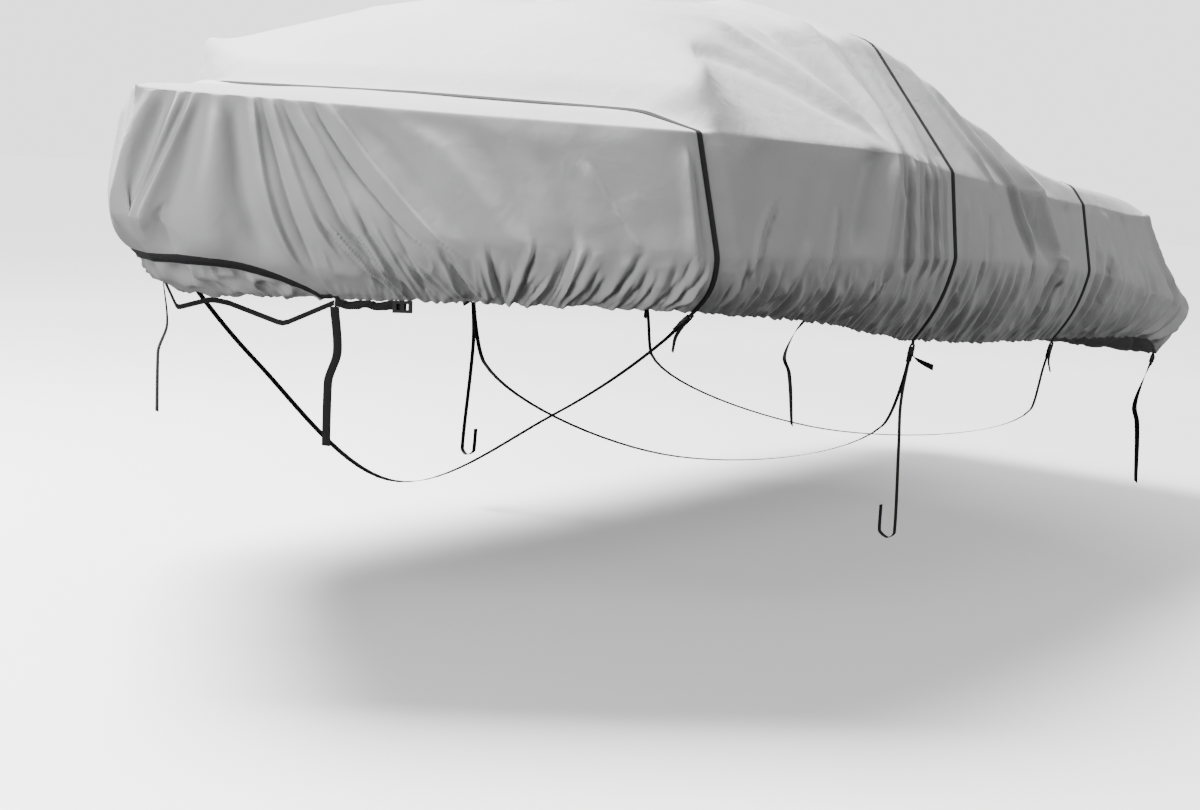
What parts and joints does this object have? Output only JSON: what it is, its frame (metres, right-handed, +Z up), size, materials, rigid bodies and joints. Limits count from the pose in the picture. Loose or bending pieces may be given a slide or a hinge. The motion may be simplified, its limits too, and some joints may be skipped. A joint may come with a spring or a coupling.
{
  "type": "boat cover",
  "caption": "Fitted light grey storage cover for an open runabout, tented over windscreen and centre pole, with gathered hem, crossing straps, buckles and tie-downs.",
  "frame": {"origin": "Underside of the cloth's top on the centreline, where the hidden centre pole holds it up.", "axes": "+Z up, +X aft from bow to stern along the cover's length, +Y to starboard."},
  "size_m": [5.5226, 2.317, 1.8803],
  "materials": {
    "cover_cloth": "matt woven polyester, light grey",
    "webbing": "black woven webbing",
    "binding": "black woven binding tape",
    "buckle_plastic": "black moulded plastic"
  },
  "bodies": {
    "root": {"cover_cloth": "cover_cloth", "bow_binding": "binding", "crossing_strap_1": "webbing", "under_strap_1": "webbing", "strap_tail_1_port": "webbing", "strap_tail_1_starboard": "webbing", "crossing_strap_2": "webbing", "under_strap_2": "webbing", "strap_tail_2_port": "webbing", "strap_tail_2_starboard": "webbing", "crossing_strap_3": "webbing", "under_strap_3": "webbing", "strap_tail_3_port": "webbing", "strap_tail_3_starboard": "webbing", "hem_webbing_port": "webbing", "bow_tie_port": "webbing", "stern_tie_port": "webbing", "beam_strap_port": "webbing", "hem_webbing_starboard": "webbing", "bow_tie_starboard": "webbing", "stern_tie_starboard": "webbing", "beam_strap_starboard": "webbing", "stem_line": "webbing", "buckle_1_port": "buckle_plastic", "buckle_1_starboard": "buckle_plastic", "buckle_2_port": "buckle_plastic", "buckle_2_starboard": "buckle_plastic", "buckle_3_port": "buckle_plastic", "buckle_3_starboard": "buckle_plastic", "bow_adjuster_port": "buckle_plastic", "bow_adjuster_starboard": "buckle_plastic", "stern_buckle_port": "buckle_plastic", "stern_buckle_starboard": "buckle_plastic"}
  },
  "joints": []
}
